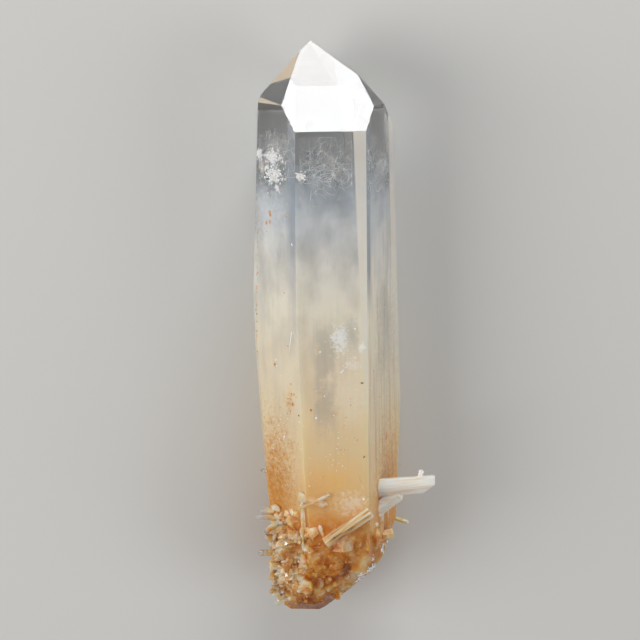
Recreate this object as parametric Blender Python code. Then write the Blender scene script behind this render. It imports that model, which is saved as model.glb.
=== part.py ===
"""Lemurian quartz point, lying on its flat back face with its tip towards +Y.

The whole thing is one solid. A six-sided main crystal is cut from a block by its own faces, which keep
quartz's angles. The small crystals on its root and lower sides are six-sided prisms with slanted points,
joined to it. Lengths are in millimetres in the crystal's own frame: X across, Y along its axis to the tip,
Z out through the front face. The last step turns them into metres.
"""

import math
import random

import bmesh
import bpy
from mathutils import Matrix, Vector
from mathutils.bvhtree import BVHTree

MM = 0.001

# Where the crystal's long axis sits, so that the box's bottom centre is the origin
AXIS_PLACE = Vector((-5.33, 2.53, 16.7))

# Quartz: the normals of the tip faces lean this far from those of the prism faces
RHOMB_LEAN = math.radians(38.213)
# Height of a full quartz point over the distance from its axis to a prism face
POINT_SLOPE = 1.0 / math.tan(RHOMB_LEAN)

# Block that the main crystal is cut from
BLOCK_SIZE = 200.0

# Tip faces: turn about the axis from the front face, in degrees, and distance from the reference point
TIP_FACES = {0: 40.8, 60: 45.3, 120: 41.8, 180: 44.4, 240: 43.9, 300: 43.8}

# Prism faces: each is one or more flat stretches, given by two (place along the axis, distance) pairs
# The back face and the back tip face are as far as their edges show through the front faces
BACK_FACE = 16.7
PRISM_FACES = {
    0: [((-30.0, 14.2), (47.0, 14.2))],
    60: [((-30.0, 15.75), (47.0, 15.65))],
    120: [((-20.6, 19.4), (47.0, 15.9)), ((-48.0, 16.9), (-20.6, 19.4))],
    180: [((-30.0, BACK_FACE), (47.0, BACK_FACE))],
    240: [((0.0, 15.0), (53.0, 12.25)), ((-37.0, 12.8), (-9.8, 15.05)), ((-49.5, 10.8), (-37.0, 12.8))],
    300: [((2.5, 13.4), (48.0, 13.35)), ((-34.0, 12.1), (2.5, 13.4)), ((-50.0, 10.9), (-34.0, 12.1))],
}

# Broken, worn root: each cut by a point on it and the way it faces. The first group is its smooth outline
# on the right and at the end, which the crust doesn't pass.
ROOT_OUTLINE = [
    ((18.7, -50.0, 0.0), (0.90, -0.43, 0.05)),
    ((16.0, -58.0, 0.0), (0.71, -0.70, 0.06)),
    ((6.2, -68.0, 0.0), (0.60, -0.79, 0.12)),
    ((-3.0, -73.2, 0.0), (-0.03, -1.00, -0.10)),
]
ROOT_CUTS = [
    ((-10.5, -71.3, 0.0), (-0.60, -0.79, 0.10)),
    ((-12.2, -58.0, 0.0), (-0.99, -0.06, 0.10)),
    ((2.0, -50.0, 14.2), (0.14, -0.28, 0.95)),
    ((9.0, -55.0, 10.8), (0.42, -0.42, 0.80)),
    ((-3.0, -64.0, 8.6), (-0.12, -0.56, 0.82)),
    ((4.0, -67.0, 5.2), (0.34, -0.70, 0.63)),
    ((-2.0, -70.5, 3.6), (-0.05, -0.83, 0.55)),
    ((0.0, -68.0, -9.5), (-0.15, -0.72, -0.68)),
    ((12.0, -54.0, -10.0), (0.62, -0.50, -0.60)),
    ((-10.0, -60.0, -10.0), (-0.62, -0.20, -0.76)),
]

# Large crystals side by side in the root: start, end, radius
ROOT_BLOCKS = [
    ((3.2, -44.0, 10.9), (3.8, -57.4, 11.0), 3.3),
    ((8.9, -46.0, 8.8), (8.5, -63.6, 6.4), 3.7),
    ((-2.6, -48.0, 9.4), (-3.1, -65.6, 7.0), 3.4),
    ((3.2, -57.0, 5.4), (1.4, -68.2, 3.6), 3.0),
    ((-7.4, -50.0, 8.6), (-7.8, -60.0, 7.6), 2.3),
    ((12.6, -44.0, 6.2), (12.2, -57.2, 2.6), 2.6),
    ((-8.2, -57.0, 4.4), (-8.6, -69.6, 2.4), 2.9),
    ((6.8, -55.0, -2.0), (5.4, -64.8, -2.6), 2.8),
    ((-6.5, -60.0, -3.0), (-7.6, -71.4, -3.4), 2.8),
    ((13.6, -46.0, -3.0), (13.0, -57.4, -4.0), 2.6),
    ((14.6, -43.0, 2.6), (14.3, -56.2, 2.2), 2.3),
    ((12.9, -45.0, 7.0), (12.8, -55.6, 6.4), 1.9),
    ((-2.4, -60.0, 3.4), (-3.0, -72.2, 1.2), 2.6),
]
ROOT_BLOCK_POINT = 0.55
# Each block and each single crystal is turned about its own axis this much more than the last, in radians
ROOT_BLOCK_TURN = 0.3
SINGLE_TURN = 0.4

# Single crystals that stand out: start, end, radius, flatness towards the front, point height
SINGLE_CRYSTALS = [
    # Clear ones on the left side
    ((-11.4, -47.4, 1.0), (-15.9, -47.3, 1.2), 0.95, 0.9, 0.7),
    ((-11.4, -48.8, 2.4), (-16.5, -48.6, 2.2), 0.55, 1.0, 0.9),
    ((-10.6, -49.4, 3.2), (-14.6, -52.4, 3.0), 0.80, 0.8, 0.8),
    ((-9.8, -56.1, 1.4), (-14.6, -52.8, 2.2), 0.90, 0.8, 0.9),
    ((-10.2, -58.2, 0.2), (-16.0, -58.1, 0.2), 0.85, 0.9, 0.6),
    ((-12.0, -37.6, 0.0), (-15.1, -37.2, 0.2), 0.60, 1.0, 0.8),
    # Low on the left, pointing down and out
    ((-8.4, -63.8, 3.0), (-12.8, -67.0, 3.2), 0.85, 0.9, 0.8),
    ((-8.0, -65.0, 5.0), (-12.9, -68.2, 4.2), 0.90, 0.9, 0.8),
    ((-7.2, -67.0, 3.0), (-11.8, -70.2, 3.0), 0.85, 0.9, 0.9),
    ((-8.6, -69.6, 0.0), (-12.0, -71.7, 0.2), 0.65, 0.8, 1.0),
    ((-8.8, -64.2, 0.4), (-13.9, -64.8, 0.2), 0.40, 1.0, 1.2),
    ((-10.4, -64.6, 2.0), (-13.4, -62.9, 2.2), 1.00, 0.9, 0.7),
    ((-10.6, -61.0, 0.4), (-13.5, -60.2, 0.2), 0.80, 0.9, 0.8),
    # On the front, near the left edge
    ((-9.0, -58.0, 8.6), (-11.4, -52.8, 9.6), 1.50, 0.8, 1.0),
    ((-8.6, -57.4, 9.2), (-10.9, -61.6, 9.8), 1.35, 0.8, 0.8),
    ((-6.3, -42.0, 13.9), (-6.0, -54.6, 13.9), 0.35, 1.0, 1.0),
    ((-5.9, -44.0, 13.7), (-5.4, -52.0, 13.9), 0.30, 1.0, 1.0),
    # On the front face
    ((-7.0, -44.0, 13.6), (0.7, -40.4, 15.0), 0.45, 0.8, 0.9),
    ((-7.2, -40.8, 13.7), (0.2, -43.3, 14.2), 1.10, 0.5, 0.8),
    ((-0.8, -52.0, 13.6), (-2.2, -47.9, 15.0), 0.50, 0.9, 0.9),
    ((1.0, -54.0, 12.8), (-6.4, -54.0, 14.0), 0.80, 0.8, 0.7),
    # Lower front
    ((-0.6, -59.0, 9.4), (-2.2, -65.8, 9.8), 1.00, 0.9, 0.9),
    ((10.6, -54.0, 9.4), (10.0, -61.4, 9.2), 0.60, 1.0, 0.9),
    ((9.9, -47.0, 11.6), (10.2, -55.8, 11.9), 0.60, 1.0, 0.9),
    ((14.8, -49.6, -2.0), (22.2, -52.3, -2.0), 0.60, 0.9, 0.6),
]

# Needle lying on the front face, broken off flat at its free end
NEEDLE = ((-0.6, -52.6, 13.9), (10.4, -45.0, 15.3), 1.55)
NEEDLE_TURN = math.radians(8.0)

# Flat blade out of the right side, with a wedge below it and a speck-sized crystal on its upper edge
BLADE = ((9.0, -40.7, 8.4), (27.4, -40.2, 8.0), 2.45)
BLADE_FLATNESS = 0.55
BLADE_END_CUTS = [((27.1, -39.3, 8.0), (1.0, -0.05, 0.0)), ((25.4, -41.4, 8.0), (0.60, -0.80, 0.05))]
WEDGE = ((11.8, -46.8, 8.6), (20.0, -41.0, 8.0), 2.0)
WEDGE_FLATNESS = 0.45
SPECK = ((23.5, -38.4, 8.0), (23.9, -36.4, 8.2), 0.75)
SPECK_POINT = 0.4

# Bundle of thin needles across the left of the root, side by side
BUNDLE_COUNT = 6
BUNDLE_START = Vector((-4.0, -53.4, 10.4))
BUNDLE_END = Vector((-11.6, -53.0, 10.6))
BUNDLE_STEP = Vector((0.10, -0.95, -0.30))
BUNDLE_RADIUS = (0.45, 0.70, 0.55)
BUNDLE_SHORTFALL = (-0.4, 0.1, 0.6)
BUNDLE_LIFT = (0.0, 0.25)
BUNDLE_POINT = 0.6

# Crust over the root: many broad, low crystals and, mostly on the left, thinner ones that stand out.
# Each has its seed and count, its ranges of radius, of shaft height and of point height over a full point,
# its tilt off the surface, its pull along the main axis, and the share kept on the right side.
CRUST_CENTRE = Vector((1.0, -56.0, 0.0))
CRUST_BIAS = Vector((-0.25, -0.10, 0.55))
CRUST_REACH = 60.0
CRUST_TOP = -46.0
CRUST_LOWEST = -8.5
CRUST_TRIES = 3000
CRUST_SINK = 2.4
LOW_CRUST = {"seed": 5, "count": 120, "radius": (0.9, 2.0), "height": (-0.2, 0.4), "points": (0.3, 0.7),
             "tilt": 0.28, "pull": 0.5, "right_share": 0.45}
THIN_CRUST = {"seed": 12, "count": 72, "radius": (0.4, 0.95), "height": (0.2, 1.5), "points": (0.6, 1.0),
              "tilt": 0.40, "pull": 0.3, "right_share": 0.06}
# Height of crystals that face right over that of those that face left
RIGHT_RISE = 0.25
# Most that a tip is off its crystal's own axis, as a share of the radius
CRUST_LEAN = 0.3
# Least slant of a crystal out of the surface it grows on, as the cosine to the surface's normal
LEAST_UPRIGHT = 0.5
# How far a crust crystal may pass the root's outline, less a share of its own radius
OUTLINE_ROOM = 0.2
OUTLINE_RADIUS_SHARE = 0.9
# A face turned to the front this squarely is the smooth prism face, which stays bare, as do those turned
# this far to the back
BARE_FRONT = 0.985
BARE_BACK = -0.5

# Colour of the milky, iron-stained quartz
QUARTZ_COLOUR = (0.86, 0.76, 0.62, 1.0)
QUARTZ_IOR = 1.544


def clear_scene():
    """Remove every object."""
    for old in list(bpy.data.objects):
        bpy.data.objects.remove(old, do_unlink=True)


def quartz_material():
    """Return the see-through quartz material."""
    material = bpy.data.materials.new("milky_quartz")
    material.use_nodes = True
    shader = material.node_tree.nodes["Principled BSDF"]
    shader.inputs["Base Color"].default_value = QUARTZ_COLOUR
    shader.inputs["Metallic"].default_value = 0.0
    shader.inputs["Roughness"].default_value = 0.08
    shader.inputs["IOR"].default_value = QUARTZ_IOR
    shader.inputs["Transmission Weight"].default_value = 0.6
    return material


def keep_inside(bm, point, normal):
    """Cut a convex solid by a plane, drop what is outside it and close the cut."""
    geometry = bm.verts[:] + bm.edges[:] + bm.faces[:]
    cut = bmesh.ops.bisect_plane(bm, geom=geometry, plane_co=point, plane_no=normal, clear_outer=True)
    rim = [item for item in cut["geom_cut"] if isinstance(item, bmesh.types.BMEdge)]
    if rim:
        bmesh.ops.contextual_create(bm, geom=rim)


def tip_plane(turn, distance):
    """Return a point on one tip face and its normal."""
    angle = math.radians(turn)
    across = math.cos(RHOMB_LEAN)
    normal = Vector((across * math.sin(angle), math.sin(RHOMB_LEAN), across * math.cos(angle)))
    return normal * distance, normal


def stretch_plane(turn, low, high):
    """Return a point on one flat stretch of a prism face and its normal."""
    angle = math.radians(turn)
    out = Vector((math.sin(angle), 0.0, math.cos(angle)))
    along = high[0] - low[0]
    growth = high[1] - low[1]
    normal = (out * along - Vector((0.0, growth, 0.0))).normalized()
    point = out * low[1] + Vector((0.0, low[0], 0.0))
    return point, normal


def main_crystal():
    """Cut the main crystal out of a block by its tip faces, prism faces and root."""
    bm = bmesh.new()
    bmesh.ops.create_cube(bm, size=BLOCK_SIZE)
    for turn, distance in TIP_FACES.items():
        keep_inside(bm, *tip_plane(turn, distance))
    for turn, stretches in PRISM_FACES.items():
        for low, high in stretches:
            keep_inside(bm, *stretch_plane(turn, low, high))
    for point, normal in ROOT_OUTLINE + ROOT_CUTS:
        keep_inside(bm, Vector(point), Vector(normal).normalized())
    return bm


def crystal(start, end, radius, flatness=1.0, point=1.0, turn=0.0, lean=(0.0, 0.0)):
    """Make a six-sided crystal from start to end, flattened towards the front.

    point is the height of its pointed end over a full quartz point, and 0 leaves it broken off flat.
    lean moves the tip off the crystal's own axis, as a share of its radius.
    """
    start = Vector(start)
    axis = Vector(end) - start
    height = point * POINT_SLOPE * radius
    shaft = axis.length - height
    bm = bmesh.new()
    bmesh.ops.create_cone(bm, cap_ends=True, segments=6, radius1=radius, radius2=radius, depth=shaft)
    bmesh.ops.translate(bm, vec=(0.0, 0.0, 0.5 * shaft), verts=bm.verts)
    if point > 0.0:
        top = max(bm.faces, key=lambda face: face.calc_center_median().z)
        summit = bmesh.ops.poke(bm, faces=[top])["verts"]
        shift = Vector((lean[0] * radius, lean[1] * radius, height))
        bmesh.ops.translate(bm, vec=shift, verts=summit)
    ahead = axis.normalized()
    side = ahead.cross(Vector((0.0, 0.0, 1.0))).normalized()
    front = side.cross(ahead)
    facing = Matrix((side, front, ahead)).transposed().to_4x4()
    shape = Matrix.Diagonal((1.0, flatness, 1.0, 1.0)) @ Matrix.Rotation(turn, 4, "Z")
    bmesh.ops.transform(bm, matrix=Matrix.Translation(start) @ facing @ shape, verts=bm.verts)
    return bm


def blade():
    """Make the flat blade with its obliquely cut free end."""
    bm = crystal(*BLADE, flatness=BLADE_FLATNESS, point=0.0)
    for point, normal in BLADE_END_CUTS:
        keep_inside(bm, Vector(point), Vector(normal).normalized())
    return bm


def bundle():
    """Make the thin needles that lie side by side across the root."""
    needles = []
    for index in range(BUNDLE_COUNT):
        shift = BUNDLE_STEP * index
        uneven = Vector((BUNDLE_SHORTFALL[index % 3], 0.0, BUNDLE_LIFT[index % 2]))
        radius = BUNDLE_RADIUS[index % 3]
        needles.append(crystal(BUNDLE_START + shift, BUNDLE_END + shift + uneven, radius, point=BUNDLE_POINT))
    return needles


def within_outline(end, radius):
    """Tell whether a crystal that ends there stays about inside the root's smooth outline."""
    room = OUTLINE_ROOM - OUTLINE_RADIUS_SHARE * radius
    return all((end - Vector(point)).dot(Vector(normal).normalized()) < room for point, normal in ROOT_OUTLINE)


def outermost(surfaces, way):
    """Return where a ray along way leaves the root, and the normal there."""
    outside = CRUST_CENTRE + way * CRUST_REACH
    hits = [surface.ray_cast(outside, -way) for surface in surfaces]
    found = [(hit[3], hit[0], hit[1]) for hit in hits if hit[0] is not None]
    distance, where, normal = min(found, key=lambda hit: hit[0])
    return where, normal


def crust(surfaces, seed, count, radius, height, points, tilt, pull, right_share):
    """Scatter small crystals over the root, highest and thickest on its left side."""
    chance = random.Random(seed)
    crystals = []
    for attempt in range(CRUST_TRIES):
        if len(crystals) == count:
            break
        way = (Vector([chance.gauss(0.0, 1.0) for axis in range(3)]) + CRUST_BIAS).normalized()
        where, normal = outermost(surfaces, way)
        leftness = 0.5 - 0.5 * normal.x
        rise_share = RIGHT_RISE + (1.0 - RIGHT_RISE) * leftness
        size = chance.uniform(*radius)
        point = chance.uniform(*points)
        rise = (chance.uniform(*height) + point * POINT_SLOPE * size) * rise_share
        spread = Vector([chance.gauss(0.0, tilt) for axis in range(3)])
        lean = (chance.uniform(-CRUST_LEAN, CRUST_LEAN), chance.uniform(-CRUST_LEAN, CRUST_LEAN))
        turn = chance.uniform(0.0, 1.0)
        kept = chance.random() < right_share + leftness
        on_root = CRUST_LOWEST < where.z and where.y < CRUST_TOP and BARE_BACK < normal.z < BARE_FRONT
        pointing = (normal + spread + Vector((0.0, -pull, 0.0))).normalized()
        end = where + pointing * rise
        upright = pointing.dot(normal) > LEAST_UPRIGHT
        if not (kept and on_root and upright and within_outline(end, size)):
            continue
        crystals.append(crystal(where - pointing * CRUST_SINK, end, size, 1.0, point, turn, lean))
    return crystals


def small_crystals(core):
    """Make every small crystal that is grown into the main one."""
    crystals = [crystal(start, end, radius, point=ROOT_BLOCK_POINT, turn=ROOT_BLOCK_TURN * number)
                for number, (start, end, radius) in enumerate(ROOT_BLOCKS)]
    surfaces = [BVHTree.FromBMesh(solid) for solid in [core] + crystals]
    crystals += crust(surfaces, **LOW_CRUST)
    crystals += crust(surfaces, **THIN_CRUST)
    crystals += [crystal(start, end, radius, flatness, point, turn=SINGLE_TURN * number)
                 for number, (start, end, radius, flatness, point) in enumerate(SINGLE_CRYSTALS)]
    crystals.append(crystal(*NEEDLE, point=0.0, turn=NEEDLE_TURN))
    crystals.append(crystal(*WEDGE, flatness=WEDGE_FLATNESS))
    crystals.append(crystal(*SPECK, point=SPECK_POINT))
    crystals.append(blade())
    crystals += bundle()
    return crystals


def make_object(name, bm, material):
    """Turn a bmesh in millimetres into a mesh object in metres, set on the origin."""
    bmesh.ops.transform(bm, matrix=Matrix.Scale(MM, 4) @ Matrix.Translation(AXIS_PLACE), verts=bm.verts)
    bmesh.ops.recalc_face_normals(bm, faces=bm.faces)
    mesh = bpy.data.meshes.new(name)
    bm.to_mesh(mesh)
    bm.free()
    mesh.materials.append(material)
    made = bpy.data.objects.new(name, mesh)
    bpy.context.scene.collection.objects.link(made)
    return made


def join_crystals(point, guides):
    """Join the guide crystals to the main crystal for good, and remove the guides."""
    group = bpy.data.collections.new("grown_crystals")
    for guide in guides:
        group.objects.link(guide)
    joined = point.modifiers.new("grown_together", "BOOLEAN")
    joined.operation = "UNION"
    joined.solver = "EXACT"
    joined.operand_type = "COLLECTION"
    joined.collection = group
    evaluated = point.evaluated_get(bpy.context.evaluated_depsgraph_get())
    mesh = bpy.data.meshes.new_from_object(evaluated)
    point.modifiers.clear()
    point.data = mesh
    for guide in guides:
        bpy.data.objects.remove(guide, do_unlink=True)
    bpy.data.collections.remove(group)


def fill_sealed_gaps(point):
    """Delete the skins of small gaps that the crystals close off between them."""
    bm = bmesh.new()
    bm.from_mesh(point.data)
    waiting = set(bm.verts)
    skins = []
    while waiting:
        skin = [waiting.pop()]
        for vertex in skin:
            beside = {edge.other_vert(vertex) for edge in vertex.link_edges} & waiting
            waiting -= beside
            skin.extend(beside)
        skins.append(skin)
    skins.sort(key=len)
    for skin in skins[:-1]:
        bmesh.ops.delete(bm, geom=skin, context="VERTS")
    bm.to_mesh(point.data)
    bm.free()


def build():
    """Build the quartz point and join the small crystals to it."""
    clear_scene()
    quartz = quartz_material()
    core = main_crystal()
    grown = small_crystals(core)
    point = make_object("quartz_point", core, quartz)
    guides = [make_object(f"grown_{number:03d}", bm, quartz) for number, bm in enumerate(grown)]
    join_crystals(point, guides)
    fill_sealed_gaps(point)


build()
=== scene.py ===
"""Lemurian quartz point on a pale studio floor.

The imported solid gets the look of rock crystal. Sheets of milk lie inside it, healed cracks, flakes and
iron specks lie in its faces, and a fine druse grows on its root. Every new piece is worked out with numpy
in the crystal's own frame, in millimetres: X to the right, Y along the axis to the tip, Z out of the front.
"""
import math

import bpy
import numpy as np
from mathutils import Matrix, Vector


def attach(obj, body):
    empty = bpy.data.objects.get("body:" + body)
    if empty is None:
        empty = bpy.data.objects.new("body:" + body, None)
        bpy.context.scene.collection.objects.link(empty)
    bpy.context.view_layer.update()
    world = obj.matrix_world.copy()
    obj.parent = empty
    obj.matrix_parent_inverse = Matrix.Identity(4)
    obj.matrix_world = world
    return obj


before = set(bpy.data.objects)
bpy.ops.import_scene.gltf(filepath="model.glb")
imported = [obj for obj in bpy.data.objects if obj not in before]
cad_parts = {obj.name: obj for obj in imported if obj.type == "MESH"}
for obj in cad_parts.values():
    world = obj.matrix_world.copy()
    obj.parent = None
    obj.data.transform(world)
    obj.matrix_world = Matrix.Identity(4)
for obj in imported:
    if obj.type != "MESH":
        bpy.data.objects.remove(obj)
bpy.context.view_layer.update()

MM = 0.001

# The point that the crystal's long axis passes through, in millimetres from the frame's origin
AXIS_PLACE = np.array((-5.33, 2.53, 16.7))

# Quartz: the tip faces lean this far from the prism faces
LEAN = math.radians(38.213)

# Tip faces by their turn about the axis from the front, in degrees, and how far each is from the origin
TIP_FACES = {0: 40.8, 60: 45.3, 120: 41.8, 180: 44.4, 240: 43.9, 300: 43.8}

# Prism faces: each is one or more flat stretches, given by two (place along the axis, distance) pairs
PRISM_FACES = {
    0: [((-30.0, 14.2), (47.0, 14.2))],
    60: [((-30.0, 15.75), (47.0, 15.65))],
    120: [((-20.6, 19.4), (47.0, 15.9)), ((-48.0, 16.9), (-20.6, 19.4))],
    180: [((-30.0, 16.7), (47.0, 16.7))],
    240: [((0.0, 15.0), (53.0, 12.25)), ((-37.0, 12.8), (-9.8, 15.05)), ((-49.5, 10.8), (-37.0, 12.8))],
    300: [((2.5, 13.4), (48.0, 13.35)), ((-34.0, 12.1), (2.5, 13.4)), ((-50.0, 10.9), (-34.0, 12.1))],
}

# Where the root's stained, rough part begins along the axis
ROOT_TOP = -47.0

QUARTZ_IOR = 1.544

# The photo's view, fitted to the crystal's face angles: turned about its length, tipped, then rolled
VIEW_TURN = math.radians(6.088)
VIEW_TIP = math.radians(10.0)
VIEW_ROLL = math.radians(0.448)
# Takes a direction in the crystal's frame to the camera's
LOOKING = (Matrix.Rotation(VIEW_ROLL, 3, "Z") @ Matrix.Rotation(VIEW_TIP, 3, "X")
           @ Matrix.Rotation(VIEW_TURN, 3, "Y"))


def linear(code):
    """Turn an sRGB hex colour into linear light."""
    value = np.array([int(code[i:i + 2], 16) for i in (1, 3, 5)]) / 255.0
    light = np.where(value <= 0.04045, value / 12.92, ((value + 0.055) / 1.055) ** 2.4)
    return (*light.tolist(), 1.0)


def grey(level):
    """A share as a colour, for mixing."""
    return (level, level, level, 1.0)


def add(tree, kind, settings=None, inputs=None):
    """Add a node, set its own settings, and give its inputs values or other nodes' first outputs."""
    made = tree.nodes.new("ShaderNode" + kind)
    for name, value in (settings or {}).items():
        if name == "stops":
            ramp = made.color_ramp
            while len(ramp.elements) < len(value):
                ramp.elements.new(0.5)
            for element, (place, colour) in zip(ramp.elements, value):
                element.position = place
                element.color = colour if isinstance(colour, tuple) else grey(colour)
        else:
            setattr(made, name, value)
    for name, value in (inputs or {}).items():
        if isinstance(value, bpy.types.Node):
            value = value.outputs[0]
        if isinstance(value, bpy.types.NodeSocket):
            tree.links.new(value, made.inputs[name])
        else:
            made.inputs[name].default_value = value
    return made


def start_material(name):
    """Start a material: return it, its tree, and places in the crystal's frame in millimetres."""
    made = bpy.data.materials.new(name)
    made.use_nodes = True
    tree = made.node_tree
    tree.nodes.clear()
    places = add(tree, "TexCoord").outputs["Object"]
    where = add(tree, "Mapping", inputs={
        "Vector": places, "Scale": (1 / MM, 1 / MM, 1 / MM), "Location": (-AXIS_PLACE).tolist()})
    return made, tree, where


def finish_material(tree, shader):
    """Send the shader to the surface."""
    tree.links.new(shader.outputs[0], add(tree, "OutputMaterial").inputs["Surface"])


# Shapes


def stretches(face):
    """Each flat stretch of a prism face as its slope along the axis and its distance at the origin."""
    lines = []
    for (low, near), (high, far) in PRISM_FACES[face]:
        slope = (far - near) / (high - low)
        lines.append((slope, near - slope * low))
    return lines


def prism_distance(face, along):
    """How far a prism face is from the axis: the least of its stretches' slope * along + distance."""
    return np.min([slope * along + distance for slope, distance in stretches(face)], axis=0)


def reach(turn, along):
    """Distance from the axis to the crystal's surface, at a turn about the axis and a place along it.

    It is the least over all faces of (distance of the face) / cos(angle between the turn and the face),
    where a tip face's distance falls by sin(lean) per millimetre along the axis, over cos(lean).
    """
    nearest = np.full(np.broadcast(turn, along).shape, np.inf)
    for face, tip in TIP_FACES.items():
        ahead = np.maximum(np.cos(turn - math.radians(face)), 1e-6)
        point = (tip - along * math.sin(LEAN)) / math.cos(LEAN)
        nearest = np.minimum(nearest, np.minimum(prism_distance(face, along), point) / ahead)
    return nearest


def unit(vectors):
    """Vectors over their lengths."""
    return vectors / np.maximum(np.linalg.norm(vectors, axis=-1, keepdims=True), 1e-9)


def waves(points, seed, count, longest, shortest):
    """Smooth random field of about unit size: a sum of sine waves of random direction, length and phase."""
    chance = np.random.default_rng(seed)
    ways = unit(chance.normal(size=(count, 3)))
    lengths = np.exp(chance.uniform(math.log(shortest), math.log(longest), count))
    phases = chance.uniform(0.0, 2.0 * math.pi, count)
    share = lengths / lengths.max()
    field = np.sin(points @ (ways * (2.0 * math.pi / lengths)[:, None]).T + phases) @ share
    return field / np.sqrt((share ** 2).sum() / 2.0)


def span(value, low, high):
    """0 below low, 1 above high, and a smooth step between."""
    share = np.clip((value - low) / (high - low), 0.0, 1.0)
    return share * share * (3.0 - 2.0 * share)


def place_piece(name, points, faces, look, smooth=True):
    """Make a piece from points in millimetres in the crystal's frame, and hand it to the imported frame.

    Nothing reaches under the face that the crystal rests on.
    """
    points = points.reshape(-1, 3) + AXIS_PLACE
    points[:, 2] = np.maximum(points[:, 2], 0.0)
    mesh = bpy.data.meshes.new(name)
    mesh.from_pydata((points * MM).tolist(), [], faces)
    if smooth:
        mesh.shade_smooth()
    mesh.materials.append(look)
    made = bpy.data.objects.new(name, mesh)
    bpy.context.scene.collection.objects.link(made)
    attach(made, "root")


def tube_faces(rows, columns):
    """Quads of a grid of points, row by row, whose last column joins the first."""
    row, column = np.meshgrid(np.arange(rows - 1), np.arange(columns), indexing="ij")
    beside = (column + 1) % columns
    quads = np.stack([(row + 1) * columns + column, (row + 1) * columns + beside,
                      row * columns + beside, row * columns + column], axis=-1)
    return quads.reshape(-1, 4)


# The sides of a thread are worked out from this direction, which no thread follows
OFF_DIRECTION = np.array((0.31, 0.17, 0.94))
THREAD_SIDES = 4


def threads(paths, radii):
    """Thin threads with four sides. paths is threads x steps x 3 and radii is threads x steps.

    Each ring is centre + radius * (cos(turn) * side + sin(turn) * up), square to the way ahead, and both
    ends are closed to a point.
    """
    count, steps = radii.shape
    ahead = unit(np.gradient(paths, axis=1))
    side = unit(np.cross(ahead, OFF_DIRECTION))
    up = np.cross(side, ahead)
    turn = np.linspace(0.0, 2.0 * math.pi, THREAD_SIDES, endpoint=False)
    ring = np.cos(turn)[:, None] * side[:, :, None, :] + np.sin(turn)[:, None] * up[:, :, None, :]
    rings = paths[:, :, None, :] + radii[:, :, None, None] * ring
    points = np.concatenate([rings.reshape(count, -1, 3), paths[:, :1], paths[:, -1:]], axis=1)
    each = points.shape[1]
    first = np.arange(THREAD_SIDES)
    following = (first + 1) % THREAD_SIDES
    last_ring = (steps - 1) * THREAD_SIDES
    low_cap = np.stack([np.full(THREAD_SIDES, each - 2), first, following], axis=1)
    high_cap = np.stack([np.full(THREAD_SIDES, each - 1), last_ring + following, last_ring + first], axis=1)
    caps = np.concatenate([low_cap, high_cap])
    shift = (np.arange(count) * each)[:, None, None]
    quads = (tube_faces(steps, THREAD_SIDES) + shift).reshape(-1, 4)
    return points, quads.tolist() + (caps + shift).reshape(-1, 3).tolist()


def ring_points(sides):
    """Corners of a flat polygon of unit radius."""
    turns = np.arange(sides) * 2.0 * math.pi / sides
    return np.stack([np.cos(turns), np.sin(turns), np.zeros(sides)], axis=1)


# Quartz crystal: a six-sided prism of unit radius and length, the middle of its base, and its point
HEXAGON = ring_points(6)
CRYSTAL_POINTS = np.concatenate([HEXAGON, HEXAGON + (0.0, 0.0, 1.0), [(0.0, 0.0, 0.0), (0.0, 0.0, 1.6)]])
CRYSTAL_FACES = [(i, (i + 1) % 6, 6 + (i + 1) % 6, 6 + i) for i in range(6)]
CRYSTAL_FACES += [(6 + i, 6 + (i + 1) % 6, 13) for i in range(6)]
CRYSTAL_FACES += [((i + 1) % 6, i, 12) for i in range(6)]

# Grain or flake: a five-sided double pyramid
GRAIN_POINTS = np.concatenate([ring_points(5), [(0.0, 0.0, 1.0), (0.0, 0.0, -1.0)]])
GRAIN_FACES = [(i, (i + 1) % 5, 5) for i in range(5)] + [((i + 1) % 5, i, 6) for i in range(5)]


def frames(ways, chance):
    """Three square axes for each way, the third along it, turned at random about it."""
    other = unit(np.cross(ways, chance.normal(size=ways.shape)))
    return np.stack([other, np.cross(ways, other), ways], axis=1)


def repeat(shape, faces, centres, axes, sizes, uneven=0.0, chance=None):
    """Copies of a small shape: centre + its points times sizes along the axes. sizes is copies x 3."""
    local = np.broadcast_to(shape, (len(centres), *shape.shape)).copy()
    if uneven:
        local = local * (1.0 + uneven * chance.uniform(-1.0, 1.0, (*local.shape[:2], 1)))
    points = centres[:, None, :] + np.einsum("cpk,ckx->cpx", local * sizes[:, None, :], axes)
    shift = (np.arange(len(centres)) * len(shape))[:, None, None]
    made = []
    for size in {len(face) for face in faces}:
        alike = np.array([face for face in faces if len(face) == size])
        made += (alike + shift).reshape(-1, size).tolist()
    return points, made


# How many points are tried on the solid for each that is kept
TRIES = 120


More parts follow.
